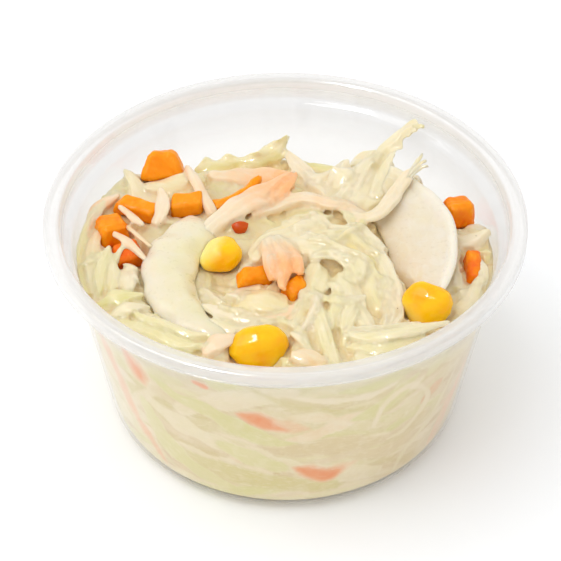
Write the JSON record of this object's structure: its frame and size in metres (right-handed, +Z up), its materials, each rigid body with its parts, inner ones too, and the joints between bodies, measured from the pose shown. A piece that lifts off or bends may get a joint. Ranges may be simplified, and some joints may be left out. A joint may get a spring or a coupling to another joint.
{
  "type": "coleslaw in a portion cup",
  "caption": "Round clear plastic portion cup filled with coleslaw: creamy shredded cabbage with large pale slices, cut carrot and sweetcorn kernels on top. Open at the top.",
  "frame": {"origin": "middle of the cup's foot, on the surface it stands on", "axes": "+Z up along the cup's axis, +X to the right and +Y to the back of the shown side"},
  "size_m": [0.076, 0.076, 0.038],
  "materials": {
    "cup_plastic": "thin clear polypropylene, slightly hazy, glossy",
    "dressed_cabbage": "wet shredded cabbage in creamy dressing",
    "pale_cabbage": "wet, smooth pale cabbage slice",
    "sweetcorn": "glossy wet corn skin",
    "carrot": "wet cut carrot"
  },
  "bodies": {
    "root": {"cabbage_rib": "pale_cabbage", "cabbage_slice": "pale_cabbage", "carrot_block": "carrot", "carrot_chunk": "carrot", "carrot_curl": "carrot", "carrot_dark": "carrot", "carrot_dice": "carrot", "carrot_shard": "carrot", "carrot_side": "carrot", "carrot_stick": "carrot", "carrot_tip": "carrot", "carrot_wedge": "carrot", "coleslaw": "dressed_cabbage", "corn_front": "sweetcorn", "corn_left": "sweetcorn", "corn_right": "sweetcorn", "cup": "cup_plastic"}
  },
  "joints": []
}
